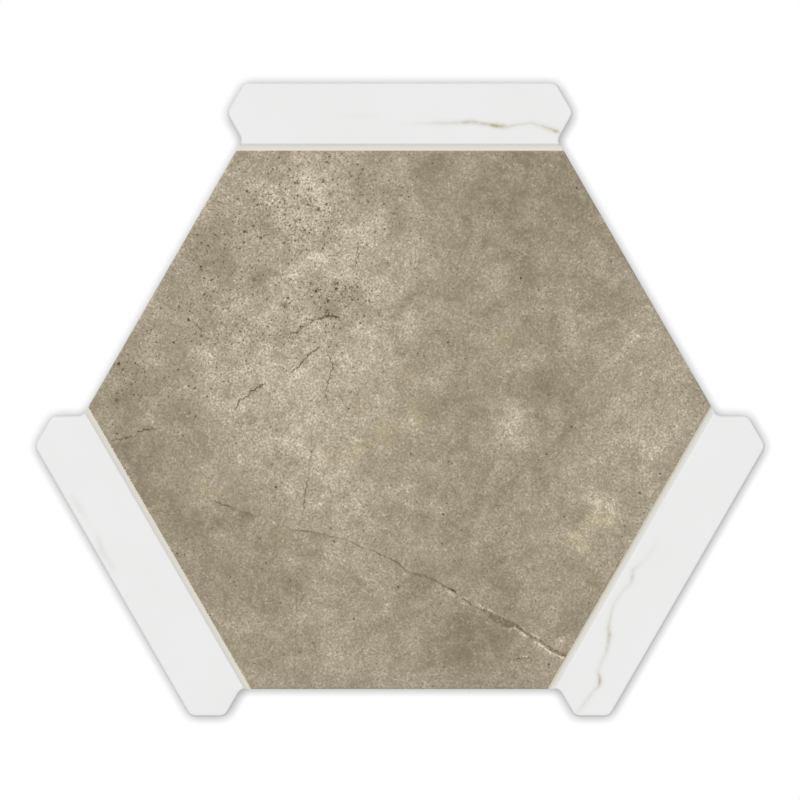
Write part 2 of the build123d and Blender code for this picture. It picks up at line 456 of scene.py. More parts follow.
def honeycombTree():
    tree = bpy.data.node_groups.new("honeycombBack", "GeometryNodeTree")
    add = partial(addNode, tree)
    inputs = {}
    for name, kind in (
        ("Back", "Geometry"),
        ("Pocket radius", "Float"),
        ("Floor radius", "Float"),
        ("Pocket depth", "Float"),
        ("Body", "Material"),
    ):
        socket = tree.interface.new_socket(name, in_out="INPUT", socket_type="NodeSocket" + kind)
        inputs[name] = socket.identifier
    tree.interface.new_socket("Back", in_out="OUTPUT", socket_type="NodeSocketGeometry")
    given = add("NodeGroupInput").outputs
    pointyTop = (0, 0, math.radians(30))

    # the loose points are the pockets' centres, the edges are the outline
    neighbours = add("GeometryNodeInputMeshVertexNeighbors").outputs["Vertex Count"]
    isCentre = add("FunctionNodeCompare", {2: neighbours, 3: 0}, data_type="INT", operation="EQUAL")
    edge = add("GeometryNodeMeshToCurve", {"Mesh": given["Back"]})

    sixSided = {"Resolution": 6, "Radius": given["Pocket radius"]}
    mouth = add("GeometryNodeCurvePrimitiveCircle", sixSided, mode="RADIUS")
    mouth = add("GeometryNodeTransform", {"Geometry": mouth, "Rotation": pointyTop})
    mouths = add(
        "GeometryNodeInstanceOnPoints", {"Points": given["Back"], "Selection": isCentre, "Instance": mouth}
    )
    mouths = add("GeometryNodeRealizeInstances", {"Geometry": mouths})
    loops = add("GeometryNodeJoinGeometry", {"Geometry": [edge, mouths]})
    land = add("GeometryNodeFillCurve", {"Curve": loops})
    land = add("GeometryNodeFlipFaces", {"Mesh": land})

    cone = add(
        "GeometryNodeMeshCone",
        {
            "Vertices": 6,
            "Radius Bottom": given["Pocket radius"],
            "Radius Top": given["Floor radius"],
            "Depth": given["Pocket depth"],
        },
        fill_type="NGON",
    )
    openCone = {"Geometry": cone, "Selection": cone.outputs["Bottom"]}
    pocket = add("GeometryNodeDeleteGeometry", openCone, domain="FACE")
    pocket = add("GeometryNodeFlipFaces", {"Mesh": pocket})
    pocket = add("GeometryNodeTransform", {"Geometry": pocket, "Rotation": pointyTop})
    pockets = add(
        "GeometryNodeInstanceOnPoints", {"Points": given["Back"], "Selection": isCentre, "Instance": pocket}
    )

    whole = add("GeometryNodeJoinGeometry", {"Geometry": [land, pockets]})
    whole = add("GeometryNodeRealizeInstances", {"Geometry": whole})
    whole = add("GeometryNodeMergeByDistance", {"Geometry": whole, "Distance": weld * mm})
    whole = add("GeometryNodeSetMaterial", {"Geometry": whole, "Material": given["Body"]})
    add("NodeGroupOutput", {"Back": whole})
    return tree, inputs


def backMesh(loop, finish):
    # loop: the outline of the back, in order
    centres = pocketCentres()
    flat = np.concatenate((loop, centres)) * mm
    order = np.arange(len(loop))
    edges = np.stack((order, np.roll(order, -1)), 1)
    guide = bpy.data.meshes.new("backGuide")
    guide.from_pydata([(x, y, 0) for x, y in flat], edges.tolist(), [])
    holder = bpy.data.objects.new("backGuide", guide)
    bpy.context.scene.collection.objects.link(holder)
    tree, inputs = honeycombTree()
    modifier = holder.modifiers.new("honeycombBack", "NODES")
    modifier.node_group = tree
    corner = backRelief["cell"] / root3
    inset = backRelief["depth"] * math.tan(math.radians(backRelief["draft"])) * 2 / root3
    modifier[inputs["Pocket radius"]] = corner * mm
    modifier[inputs["Floor radius"]] = (corner - inset) * mm
    modifier[inputs["Pocket depth"]] = backRelief["depth"] * mm
    modifier[inputs["Body"]] = finish
    evaluated = holder.evaluated_get(bpy.context.evaluated_depsgraph_get())
    result = bpy.data.meshes.new_from_object(evaluated)
    holder.modifiers.remove(modifier)
    bpy.data.objects.remove(holder)
    print("back:", len(centres), "pockets,", len(result.polygons), "faces")
    return result


# Colours are sRGB hex codes, turned to linear for the shaders
def linearColour(code):
    channels = [int(code[i : i + 2], 16) / 255 for i in (1, 3, 5)]
    linear = [c / 12.92 if c <= 0.04045 else ((c + 0.055) / 1.055) ** 2.4 for c in channels]
    return (*linear, 1)


# Where every pattern is read: moved and turned, so that the noises share no grid line on the tile
pattern = {
    "move": (311.7, 187.3, 53.1),
    "turn": 0.55,
    "lacunarity": 2.1,  # off the even 2, for the same reason
}


def newMaterial(name):
    material = bpy.data.materials.new(name)
    material.use_nodes = True
    material.node_tree.nodes.clear()
    add = partial(addNode, material.node_tree)
    place = add("ShaderNodeTexCoord").outputs["Object"]
    inMillimetres = add("ShaderNodeVectorMath", {0: place, "Scale": 1 / mm}, operation="SCALE")
    moved = add(
        "ShaderNodeMapping",
        {"Vector": inMillimetres, "Location": pattern["move"], "Rotation": (0, 0, pattern["turn"])},
    )
    return material, add, moved


def closeMaterial(add, finish, colour, height):
    strength, depth = finish["bump"]
    bump = add("ShaderNodeBump", {"Height": height, "Strength": strength, "Distance": depth * mm})
    surface = {"Base Color": colour, "Roughness": finish["roughness"], "IOR": finish["ior"], "Normal": bump}
    add("ShaderNodeOutputMaterial", {"Surface": add("ShaderNodeBsdfPrincipled", surface)})


# Stone-look matt glaze: an inkjet print of weathered limestone under a dry matt glaze.
# The eye gets taupe clouds with ragged edges, a sandy grain, dark pits and cracks, and hardly any shine.
stone = {
    "roughness": 0.62,
    "ior": 1.5,
    "level": 147,  # mean grey level of the print
    "wander": [(18.0, 7.0), (5.0, 2.4)],  # size and reach in mm of the bends in the clouds' edges
    "wanderFrom": (7.3, 3.1, 0.4),  # the place in the noise where the bends start
    "ragged": (9.0, 0.36, 0.64),  # size in mm of the break-up of clouds, and its contrast limits
    "uneven": (1.1, 0.45),  # what the break-up adds to a cloud, and what is left of one without it
    "mottling": [  # size in mm, detail, roughness, distortion, swing in grey levels
        (38.0, 4.0, 0.55, 0.4, 34),
        (13.0, 7.0, 0.68, 0.5, 72),
        (3.4, 4.0, 0.7, 0.3, 38),
    ],
    "grain": (1.0, 150),  # sand grain drawn at 1 mm, coarser than real so that it shows
    "grainLevels": (114, 182, 0.16, 1.36),  # the grain fades in the dark and swells in the light
    "cells": (0.75, 22),  # single grains
    "flecks": (1.5, 0.60, 0.70, 30),  # size, threshold limits and lift of the light flecks
    "ramp": [  # grey level and its colour
        (55, "#3F331D"),
        (90, "#61553F"),
        (125, "#867A64"),
        (160, "#A99D87"),
        (195, "#CCC0AA"),
        (230, "#EFE3CD"),
    ],
    "ochre": "#B4A26C",
    "pits": [  # cell in mm, share of cells with a pit, largest radius, darkness, stray ones elsewhere
        (1.5, 0.42, 0.32, 70, 0.014),
        (3.2, 0.42, 0.46, 84, 0.006),
        (8.0, 0.30, 0.75, 84, 0.0),
    ],
    "pitWarp": 0.9,  # bends to a millimetre in the pits' shapes
    "pitSoft": 0.2,
    "pitRagged": 1.4,  # how far the sand grain eats into a pit's edge
    "pitPatchy": (0.7, 0.5),  # least share of a large pit's darkness, and what chance adds
    "crackWobble": (1.6, 0.6),  # size in mm and reach of the crack's uneven edge
    "crackBreaks": (0.36, 0.6, 0.75, 1.1),  # noise limits, weakest and strongest stretch
    "crackSoft": (0.15, 0.5),  # soft edge in mm, and more of it where the crack is wide
    "crackShade": (2.6, 0.5),  # reach in mm of the shade below and above the long crack
    "rimLeast": 0.1,  # half width of the narrowest light rim
    "rimPatchy": (0.3, 1.1),  # least share of a rim's light, and what chance adds
    "hairWobble": (2.0, 1.4),
    "hairBreaks": (0.36, 0.6, 0.75, 1.35),
    "hairSoft": (0.2, 0.3),
    "bump": (0.25, 0.002),  # strength, and depth in mm
    "seed": 11,
}

# Soft clouds of the print: x, y, half sizes along x and y, grey levels up or down
clouds = [
    (-42, 34, 52, 76, 19), (48, 5, 40, 60, -7), (62, 92, 46, 34, -12), (-80, -70, 40, 36, -9),
    (28, -94, 38, 24, -9), (108, 0, 24, 50, 9), (-112, -18, 24, 30, -8), (-46, 100, 26, 20, 8),
    (-42, 98, 12, 12, 20), (-62, 106, 10, 10, 7), (-45, 62, 7, 14, 17), (-28, 71, 14, 9, 9),
    (-14, 78, 8, 8, 7), (-66, 28, 9, 9, 8), (-52, 18, 8, 7, 13), (-43, 32, 8, 7, 13),
    (-76, 10, 10, 10, 25), (-72, -11, 8, 7, 9), (-40, -13, 10, 8, 13), (-24, -36, 18, 12, 14),
    (-18, 32, 12, 9, 7), (6, 42, 9, 8, 9), (40, 60, 7, 7, 16), (8, 77, 7, 7, 8), (53, -8, 9, 10, 28),
    (91, -41, 8, 7, 40), (80, -55, 8, 7, 20), (110, 30, 10, 8, 9), (106, -17, 8, 7, 26),
    (72, 40, 9, 14, 9), (75, -30, 7, 8, 12), (55, 19, 9, 10, 16), (-106, -45, 8, 7, 8),
    (-34, -86, 14, 12, 8), (-26, -108, 8, 7, 9), (10, -64, 14, 8, 8), (62, -86, 8, 7, 9),
    (58, 68, 8, 9, -8), (92, 57, 10, 10, -9), (28, 28, 8, 12, -8), (26, 4, 10, 12, -8),
    (29, -36, 14, 13, -11), (58, -26, 8, 8, -9), (27, -51, 9, 7, -8), (36, -69, 12, 8, -7),
    (35, -112, 11, 12, -16), (58, -104, 8, 7, 8), (15, -97, 10, 12, -5), (-84, 74, 10, 10, -22),
    (-60, 65, 7, 9, -24), (-44, 83, 10, 4, -10), (-88, 46, 8, 9, -10), (-118, -14, 10, 12, -8),
    (-73, -46, 13, 8, -8), (-55, -82, 8, 8, -7), (-58, -106, 9, 8, -9), (-46, -109, 14, 7, -6),
    (77, 13, 12, 8, -8), (84, -72, 8, 8, -7), (-30, 47, 6, 5, -4), (104, -46, 7, 6, 8),
    (-6, 98, 12, 9, -8), (51, 1, 5, 8, 14), (9, 2, 6, 6, 18), (-41, 74, 6, 5, 15), (71, -103, 6, 5, 20),
    (99, -4, 6, 6, -16), (-131, 9, 6, 8, 18), (-51, 47, 6, 5, -15), (39, 40, 6, 7, -14),
    (68, 69, 6, 6, 14), (56, -14, 5, 6, 16),
]

# Ochre stains: place and half sizes, and their strength
ochreStains = [
    (-6, -8, 5, 5, 0.7), (9, 1, 5, 5, 0.45), (80, -56, 5, 4, 0.4), (-25, -18, 8, 4, 0.4),
    (91, -46, 7, 4, 0.36), (4, 17, 4, 4, 0.3), (-17, 3, 4, 4, 0.3), (-15, -12, 4, 3, 0.3),
    (-83, -34, 6, 3, 0.25), (-51, -51, 6, 3, 0.25), (49, 37, 4, 5, 0.24), (23, -73, 3, 4, 0.3),
]

# Where the print is pitted: place and half sizes, and how thickly
pitted = [
    (-45, 90, 34, 26, 1.15), (-68, 46, 34, 26, 0.65), (-26, 55, 14, 6, 2.4), (-50, 94, 20, 8, 0.8),
    (-104, 28, 22, 22, 0.2), (-121, 15, 9, 10, 0.7), (-36, 42, 10, 6, 0.9), (-57, 33, 10, 5, 1.2),
]


def wander(points):
    # bends the clouds' edges, alike in every run
    noise.seed_set(stone["seed"])
    fromX, fromY, fromZ = stone["wanderFrom"]
    for size, reach in stone["wander"]:
        bends = [noise.noise_vector((x / size + fromX, y / size + fromY, fromZ)) for x, y in points]
        points = points + reach * np.array(bends)[:, :2]
    return points


def sumOfPatches(points, patches):
    total = np.zeros(len(points))
    for x, y, halfX, halfY, amount in patches:
        reach = ((points[:, 0] - x) / halfX) ** 2 + ((points[:, 1] - y) / halfY) ** 2
        total += amount * np.exp(-reach)
    return total


def stoneGlaze():
    material, add, place = newMaterial("stoneLookGlaze")
    tone = add("ShaderNodeAttribute", attribute_name="tone").outputs["Vector"]
    tone = add("ShaderNodeSeparateXYZ", {0: tone}).outputs
    size, low, high = stone["ragged"]
    ragged = add(
        "ShaderNodeTexNoise",
        {
            "Vector": place,
            "Scale": 1 / size,
            "Detail": 7.0,
            "Roughness": 0.7,
            "Lacunarity": pattern["lacunarity"],
            "Distortion": 0.4,
        },
        noise_dimensions="2D",
    )
    ragged = add("ShaderNodeMapRange", {"Value": ragged, "From Min": low, "From Max": high})
    gain, least = stone["uneven"]
    uneven = add("ShaderNodeMath", {0: ragged, 1: gain, 2: least}, operation="MULTIPLY_ADD")
    level = add("ShaderNodeMath", {0: tone["X"], 1: uneven, 2: stone["level"]}, operation="MULTIPLY_ADD")
    for size, detail, roughness, distortion, swing in stone["mottling"]:
        mottle = add(
            "ShaderNodeTexNoise",
            {
                "Vector": place,
                "Scale": 1 / size,
                "Detail": detail,
                "Roughness": roughness,
                "Lacunarity": pattern["lacunarity"],
                "Distortion": distortion,
            },
            noise_dimensions="2D",
        )
        centred = add("ShaderNodeMath", {0: mottle, 1: 0.5}, operation="SUBTRACT")
        level = add("ShaderNodeMath", {0: centred, 1: swing, 2: level}, operation="MULTIPLY_ADD")

    # grain: strong in the light clouds, smooth in the dark patches
    size, swing = stone["grain"]
    low, high, weak, strong = stone["grainLevels"]
    force = add(
        "ShaderNodeMapRange",
        {"Value": level, "From Min": low, "From Max": high, "To Min": weak, "To Max": strong},
    )
    sand = add(
        "ShaderNodeTexNoise",
        {"Vector": place, "Scale": 1 / size, "Detail": 3.0, "Roughness": 0.8, "Distortion": 0.3},
        noise_dimensions="2D",
    )
    sand = add("ShaderNodeMath", {0: sand, 1: 0.5}, operation="SUBTRACT")
    sanded = add("ShaderNodeMath", {0: sand, 1: force}, operation="MULTIPLY")
    level = add("ShaderNodeMath", {0: sanded, 1: swing, 2: level}, operation="MULTIPLY_ADD")
    size, swing = stone["cells"]
    grains = add("ShaderNodeTexVoronoi", {"Vector": place, "Scale": 1 / size}, voronoi_dimensions="2D")
    grains = add("ShaderNodeSeparateColor", {0: grains.outputs["Color"]})
    grains = add("ShaderNodeMath", {0: grains, 1: 0.5}, operation="SUBTRACT")
    grains = add("ShaderNodeMath", {0: grains, 1: force}, operation="MULTIPLY")
    level = add("ShaderNodeMath", {0: grains, 1: swing, 2: level}, operation="MULTIPLY_ADD")
    size, low, high, lift = stone["flecks"]
    fleckNoise = {"Vector": place, "Scale": 1 / size, "Detail": 2.0}
    flecks = add("ShaderNodeTexNoise", fleckNoise, noise_dimensions="2D")
    flecks = add("ShaderNodeMapRange", {"Value": flecks, "From Min": low, "From Max": high})
    flecks = add("ShaderNodeMath", {0: flecks, 1: ragged}, operation="MULTIPLY")
    level = add("ShaderNodeMath", {0: flecks, 1: lift, 2: level}, operation="MULTIPLY_ADD")

    # pits: each cell has its own size, and a cell stays bare where the print is not pitted
    warp = add("ShaderNodeTexNoise", {"Vector": place, "Scale": stone["pitWarp"], "Detail": 1.0})
    warped = add("ShaderNodeVectorMath", {0: warp.outputs["Color"], 1: place}, operation="ADD")
    pitting = add("ShaderNodeMath", {0: tone["Y"], 1: uneven}, operation="MULTIPLY")
    for cell, share, radius, darkness, stray in stone["pits"]:
        cells = add("ShaderNodeTexVoronoi", {"Vector": warped, "Scale": 1 / cell}, voronoi_dimensions="2D")
        chance = add("ShaderNodeSeparateColor", {0: cells.outputs["Color"]}).outputs
        odds = add("ShaderNodeMath", {0: pitting, 1: share, 2: stray}, operation="MULTIPLY_ADD")
        present = add("ShaderNodeMath", {0: odds, 1: chance[0]}, operation="GREATER_THAN")
        size = add("ShaderNodeMath", {0: chance[1], 1: radius / 2, 2: radius / 2}, operation="MULTIPLY_ADD")
        away = add("ShaderNodeMath", {0: cells.outputs["Distance"], 1: cell}, operation="MULTIPLY")
        inside = add("ShaderNodeMath", {0: size, 1: away}, operation="SUBTRACT")
        inside = add("ShaderNodeMath", {0: sand, 1: stone["pitRagged"], 2: inside}, operation="MULTIPLY_ADD")
        edge = {0: inside, 1: 1 / stone["pitSoft"], 2: 0.5}
        mask = add("ShaderNodeMath", edge, operation="MULTIPLY_ADD", use_clamp=True)
        mask = add("ShaderNodeMath", {0: mask, 1: present}, operation="MULTIPLY")
        level = add("ShaderNodeMath", {0: mask, 1: -darkness, 2: level}, operation="MULTIPLY_ADD")

    # cracks: a wavering line about the signed distance that the mesh carries
    for name in ("crack", "hair"):
        line = add("ShaderNodeAttribute", attribute_name=name).outputs["Vector"]
        line = add("ShaderNodeSeparateXYZ", {0: line}).outputs
        size, reach = stone[name + "Wobble"]
        wobbleNoise = {"Vector": place, "Scale": 1 / size, "Detail": 2.0}
        wobble = add("ShaderNodeTexNoise", wobbleNoise, noise_dimensions="2D")
        wobble = add("ShaderNodeSeparateColor", {0: wobble.outputs["Color"]}).outputs
        waver = add("ShaderNodeMath", {0: wobble[0], 1: 0.5}, operation="SUBTRACT")
        low, high, weak, strong = stone[name + "Breaks"]
        breaks = add(
            "ShaderNodeMapRange",
            {"Value": wobble[1], "From Min": low, "From Max": high, "To Min": weak, "To Max": strong},
        )
        away = add("ShaderNodeMath", {0: waver, 1: 2 * reach, 2: line["X"]}, operation="MULTIPLY_ADD")
        away = add("ShaderNodeMath", {0: away}, operation="ABSOLUTE")
        inside = add("ShaderNodeMath", {0: line["Y"], 1: away}, operation="SUBTRACT")
        least, more = stone[name + "Soft"]
        soft = add("ShaderNodeMath", {0: line["Y"], 1: more, 2: least}, operation="MULTIPLY_ADD")
        soft = add("ShaderNodeMath", {0: soft, 1: least}, operation="MAXIMUM")
        inside = add("ShaderNodeMath", {0: inside, 1: soft}, operation="DIVIDE")
        mask = add("ShaderNodeMath", {0: inside, 1: 0.5}, operation="ADD", use_clamp=True)
        mask = add("ShaderNodeMath", {0: mask, 1: breaks}, operation="MULTIPLY")
        dark = add("ShaderNodeMath", {0: mask, 1: line["Z"]}, operation="MULTIPLY")
        level = add("ShaderNodeMath", {0: level, 1: dark}, operation="SUBTRACT")

    lowest, highest = stone["ramp"][0][0], stone["ramp"][-1][0]
    share = add("ShaderNodeMapRange", {"Value": level, "From Min": lowest, "From Max": highest})
    ramp = add("ShaderNodeValToRGB", {0: share})
    stops = ramp.color_ramp.elements
    for index, (grey, code) in enumerate(stone["ramp"]):
        position = (grey - lowest) / (highest - lowest)
        if 0 < index < len(stone["ramp"]) - 1:
            stop = stops.new(position)
        else:
            stop = stops[-1 if index else 0]
        stop.position = position
        stop.color = linearColour(code)
    stain = add("ShaderNodeMath", {0: tone["Z"], 1: ragged}, operation="MULTIPLY")
    stained = add("ShaderNodeMix", {0: stain, 6: ramp, 7: linearColour(stone["ochre"])}, data_type="RGBA")
    closeMaterial(add, stone, stained.outputs[2], level)
    return material


# Marble-look satin glaze: white with a few veins that run from grey to gold.
# The eye gets an even near-white with a soft sheen, greyer at the arris, where painted shade stands for the
# dark line along the tile's edges.
marble = {
    "roughness": 0.4,
    "ior": 1.5,
    "white": "#EDEDED",
    "shade": "#E8E8E7",  # faint clouds in the white
    "shadeSize": 30.0,
    "veinGrey": "#C2C2BB",
    "veinGold": "#B2A67A",
    "veinWobble": (4.0, 0.6),  # size in mm and reach of the vein's bends
    "veinSoft": 1.4,
    "veinBreaks": (2.4, 0.36, 0.62, 0.35, 1.25),  # size in mm, noise limits, weakest and strongest
    "veinHalo": (2.6, 0.4),  # reach in mm and strength of the soft shade beside a vein
    # painted shade: the grey laid on the arris along the tile's edges, and how far in it reaches
    "edge": "#CFCFD0",
    "edgeShadeReach": (1.1, 0.2),  # mm from the tile's edge where the grey starts and is full
    "rippleSize": 5.0,
    "bump": (0.1, 0.05),  # strength, and depth in mm
}


def marbleGlaze():
    material, add, place = newMaterial("marbleLookGlaze")
    shade = add("ShaderNodeTexNoise", {"Vector": place, "Scale": 1 / marble["shadeSize"], "Detail": 4.0})
    whites = {0: shade, 6: linearColour(marble["white"]), 7: linearColour(marble["shade"])}
    colour = add("ShaderNodeMix", whites, data_type="RGBA").outputs[2]

    tone = add("ShaderNodeAttribute", attribute_name="tone").outputs["Vector"]
    tone = add("ShaderNodeSeparateXYZ", {0: tone}).outputs
    inks = {0: tone["Z"], 6: linearColour(marble["veinGrey"]), 7: linearColour(marble["veinGold"])}
    ink = add("ShaderNodeMix", inks, data_type="RGBA").outputs[2]
    line = add("ShaderNodeAttribute", attribute_name="vein").outputs["Vector"]
    line = add("ShaderNodeSeparateXYZ", {0: line}).outputs
    size, reach = marble["veinWobble"]
    waver = add("ShaderNodeTexNoise", {"Vector": place, "Scale": 1 / size, "Detail": 3.0})
    waver = add("ShaderNodeMath", {0: waver, 1: 0.5}, operation="SUBTRACT")
    away = add("ShaderNodeMath", {0: waver, 1: 2 * reach, 2: line["X"]}, operation="MULTIPLY_ADD")
    away = add("ShaderNodeMath", {0: away}, operation="ABSOLUTE")
    inside = add("ShaderNodeMath", {0: line["Y"], 1: away}, operation="SUBTRACT")
    edge = {0: inside, 1: 1 / marble["veinSoft"], 2: 0.5}
    core = add("ShaderNodeMath", edge, operation="MULTIPLY_ADD", use_clamp=True)
    size, low, high, weak, strong = marble["veinBreaks"]
    breaks = add("ShaderNodeTexNoise", {"Vector": place, "Scale": 1 / size, "Detail": 4.0})
    breaks = add(
        "ShaderNodeMapRange",
        {"Value": breaks, "From Min": low, "From Max": high, "To Min": weak, "To Max": strong},
    )
    core = add("ShaderNodeMath", {0: core, 1: breaks}, operation="MULTIPLY")
    reach, strength = marble["veinHalo"]
    fade = {"Value": away, "From Min": reach, "From Max": 0}
    halo = add("ShaderNodeMapRange", fade, interpolation_type="SMOOTHSTEP")
    mask = add("ShaderNodeMath", {0: halo, 1: strength, 2: core}, operation="MULTIPLY_ADD")
    mask = add("ShaderNodeMath", {0: mask, 1: line["Z"]}, operation="MULTIPLY", use_clamp=True)
    colour = add("ShaderNodeMix", {0: mask, 6: colour, 7: ink}, data_type="RGBA").outputs[2]

    # painted shade: the white turns grey towards the tile's edge, in place of the shade along the arris
    rim = add("ShaderNodeAttribute", attribute_name="rim").outputs["Fac"]
    start, full = marble["edgeShadeReach"]
    arrisShade = add("ShaderNodeMapRange", {"Value": rim, "From Min": start, "From Max": full})
    arrisShaded = {0: arrisShade, 6: colour, 7: linearColour(marble["edge"])}
    colour = add("ShaderNodeMix", arrisShaded, data_type="RGBA").outputs[2]
    ripple = add("ShaderNodeTexNoise", {"Vector": place, "Scale": 1 / marble["rippleSize"], "Detail": 2.0})
    closeMaterial(add, marble, colour, ripple)
    return material


# Cream joint print: the grout colour printed in the pressed grooves.
# The eye gets a dry, slightly sandy cream that turns grey towards the white strip; that grey is partly the
# joint's own colour and partly painted shade of the strip's slope.
joint = {
    "roughness": 0.7,
    "ior": 1.5,
    "cream": "#DDD8CA",
    # grey of the strip side of the groove: partly the joint's own colour, partly painted shade of the
    # strip's slope
    "pale": "#D8D8D5",
    "creamFrom": 0.8,  # from the field's edge to where the cream begins to pale
    "creamWidth": 2.4,
    "creamRagged": 0.6,  # how far the sand shifts that
    "grain": 1.2,
    "bump": (0.3, 0.1),  # strength, and depth in mm
}


def jointGlaze():
    material, add, place = newMaterial("creamJointGlaze")
    sand = add("ShaderNodeTexNoise", {"Vector": place, "Scale": 1 / joint["grain"], "Detail": 3.0})
    across = add("ShaderNodeAttribute", attribute_name="across").outputs["Fac"]
    across = add("ShaderNodeMath", {0: sand, 1: joint["creamRagged"], 2: across}, operation="MULTIPLY_ADD")
    # the cream greys towards the strip: partly painted shade where the strip's slope falls into shade
    start = plan["fieldHalf"] + joint["creamFrom"]
    end = start + joint["creamWidth"]
    share = add("ShaderNodeMapRange", {"Value": across, "From Min": start, "From Max": end})
    creams = {0: share, 6: linearColour(joint["cream"]), 7: linearColour(joint["pale"])}
    colour = add("ShaderNodeMix", creams, data_type="RGBA").outputs[2]
    closeMaterial(add, joint, colour, sand)
    return material


# Fired porcelain body: dense unglazed paste, pressed and fired.
# The eye gets a dull beige on the sides and back, faintly clouded, with fine iron specks.
firedBody = {
    "roughness": 0.75,
    "ior": 1.5,
    "paste": "#D3CDC1",
    "cloud": "#C4BDAF",
    "cloudSize": 9.0,
    "speck": "#8F8576",
    "speckCell": 1.6,
    "speckReach": (0.2, 0.1),  # cells from a speck's middle to where it starts and is full
    "speckStrength": 0.6,
    "bump": (0.4, 0.2),  # strength, and depth in mm
}


def porcelainBody():
    material, add, place = newMaterial("firedPorcelainBody")
    paste = add(
        "ShaderNodeTexNoise",
        {"Vector": place, "Scale": 1 / firedBody["cloudSize"], "Detail": 6.0, "Roughness": 0.7},
    )
    pastes = {0: paste, 6: linearColour(firedBody["paste"]), 7: linearColour(firedBody["cloud"])}
    colour = add("ShaderNodeMix", pastes, data_type="RGBA").outputs[2]
    cells = add("ShaderNodeTexVoronoi", {"Vector": place, "Scale": 1 / firedBody["speckCell"]})
    start, full = firedBody["speckReach"]
    speck = add(
        "ShaderNodeMapRange",
        {
            "Value": cells.outputs["Distance"],
            "From Min": start,
            "From Max": full,
            "To Max": firedBody["speckStrength"],
        },
    )
    specks = {0: speck, 6: colour, 7: linearColour(firedBody["speck"])}
    colour = add("ShaderNodeMix", specks, data_type="RGBA").outputs[2]
    closeMaterial(add, firedBody, colour, paste)
    return material


finishes = [stoneGlaze(), marbleGlaze(), jointGlaze(), porcelainBody()]
stoneSlot, marbleSlot, jointSlot, bodySlot = range(4)
print("materials:", ", ".join(finish.name for finish in finishes))


def tileMesh():
    flat, triangles = faceMesh()
    heights, depth, place = faceHeights(flat)
    triangles = triangles[depth[triangles].max(1) > weld]  # the others lie outside the outline
    used = np.unique(triangles)
    print("face:", len(used), "points,", len(triangles), "triangles")

    shell = bmesh.new()
    top = {index: shell.verts.new((*flat[index] * mm, heights[index] * mm)) for index in used}
    middles = flat[triangles].mean(1)
    printed = ((middles - plan["printShift"]) @ stripNormals.T).max(1)
    slots = np.where(printed > plan["fieldHalf"], jointSlot, stoneSlot)
    slots[printed > stripInner] = marbleSlot
    for corners, slot in zip(triangles, slots):
        polygon = shell.faces.new([top[index] for index in corners])
        polygon.material_index = int(slot)

    # sides: down from the face's edge to the chamfer of the back
    after = {}
    for edge in shell.edges:
        if len(edge.link_faces) == 1:
            loop = edge.link_loops[0]
            after[loop.vert] = loop.link_loop_next.vert
    number = {vertex: index for index, vertex in top.items()}
    rim = [next(iter(after))]
    while after[rim[-1]] is not rim[0]:
        rim.append(after[rim[-1]])
    inner = outlineRing(section["backChamfer"])
    whole = np.array([place[number[vertex]] for vertex in rim])
    first = whole.astype(int) % len(inner)
    share = (whole % 1)[:, None]
    backLoop = inner[first] * (1 - share) + inner[(first + 1) % len(inner)] * share
    chamferTop = [shell.verts.new((v.co.x, v.co.y, section["backChamfer"] * mm)) for v in rim]
    chamferFoot = [shell.verts.new((x * mm, y * mm, 0)) for x, y in backLoop]
    for upper, lower in ((rim, chamferTop), (chamferTop, chamferFoot)):
        for index in range(len(rim)):
            beside = (index + 1) % len(rim)
            polygon = shell.faces.new((upper[beside], upper[index], lower[index], lower[beside]))
            polygon.material_index = bodySlot

    back = backMesh(backLoop, finishes[bodySlot])
    before = len(shell.faces)
    shell.from_mesh(back)
    shell.faces.ensure_lookup_table()
    for polygon in shell.faces[before:]:
        polygon.material_index = bodySlot
    onBack = [vertex for vertex in shell.verts if vertex.co.z < weld * mm]
    bmesh.ops.remove_doubles(shell, verts=onBack, dist=weld * mm)
    bmesh.ops.recalc_face_normals(shell, faces=shell.faces)
    openEdges = sum(len(edge.link_faces) != 2 for edge in shell.edges)
    for polygon in shell.faces:
        polygon.smooth = True
    mesh = bpy.data.meshes.new("picketTile")
    shell.to_mesh(mesh)
    shell.free()
    bpy.data.meshes.remove(back)
    mesh.set_sharp_from_angle(angle=math.radians(face["sharpAngle"]))
    mesh.calc_loop_triangles()
    print("tile:", len(mesh.loop_triangles), "triangles,", openEdges, "open edges")
    return mesh


def meshPoints(mesh):
    places = np.empty(3 * len(mesh.vertices))
    mesh.vertices.foreach_get("co", places)
    return places.reshape(-1, 3) / mm


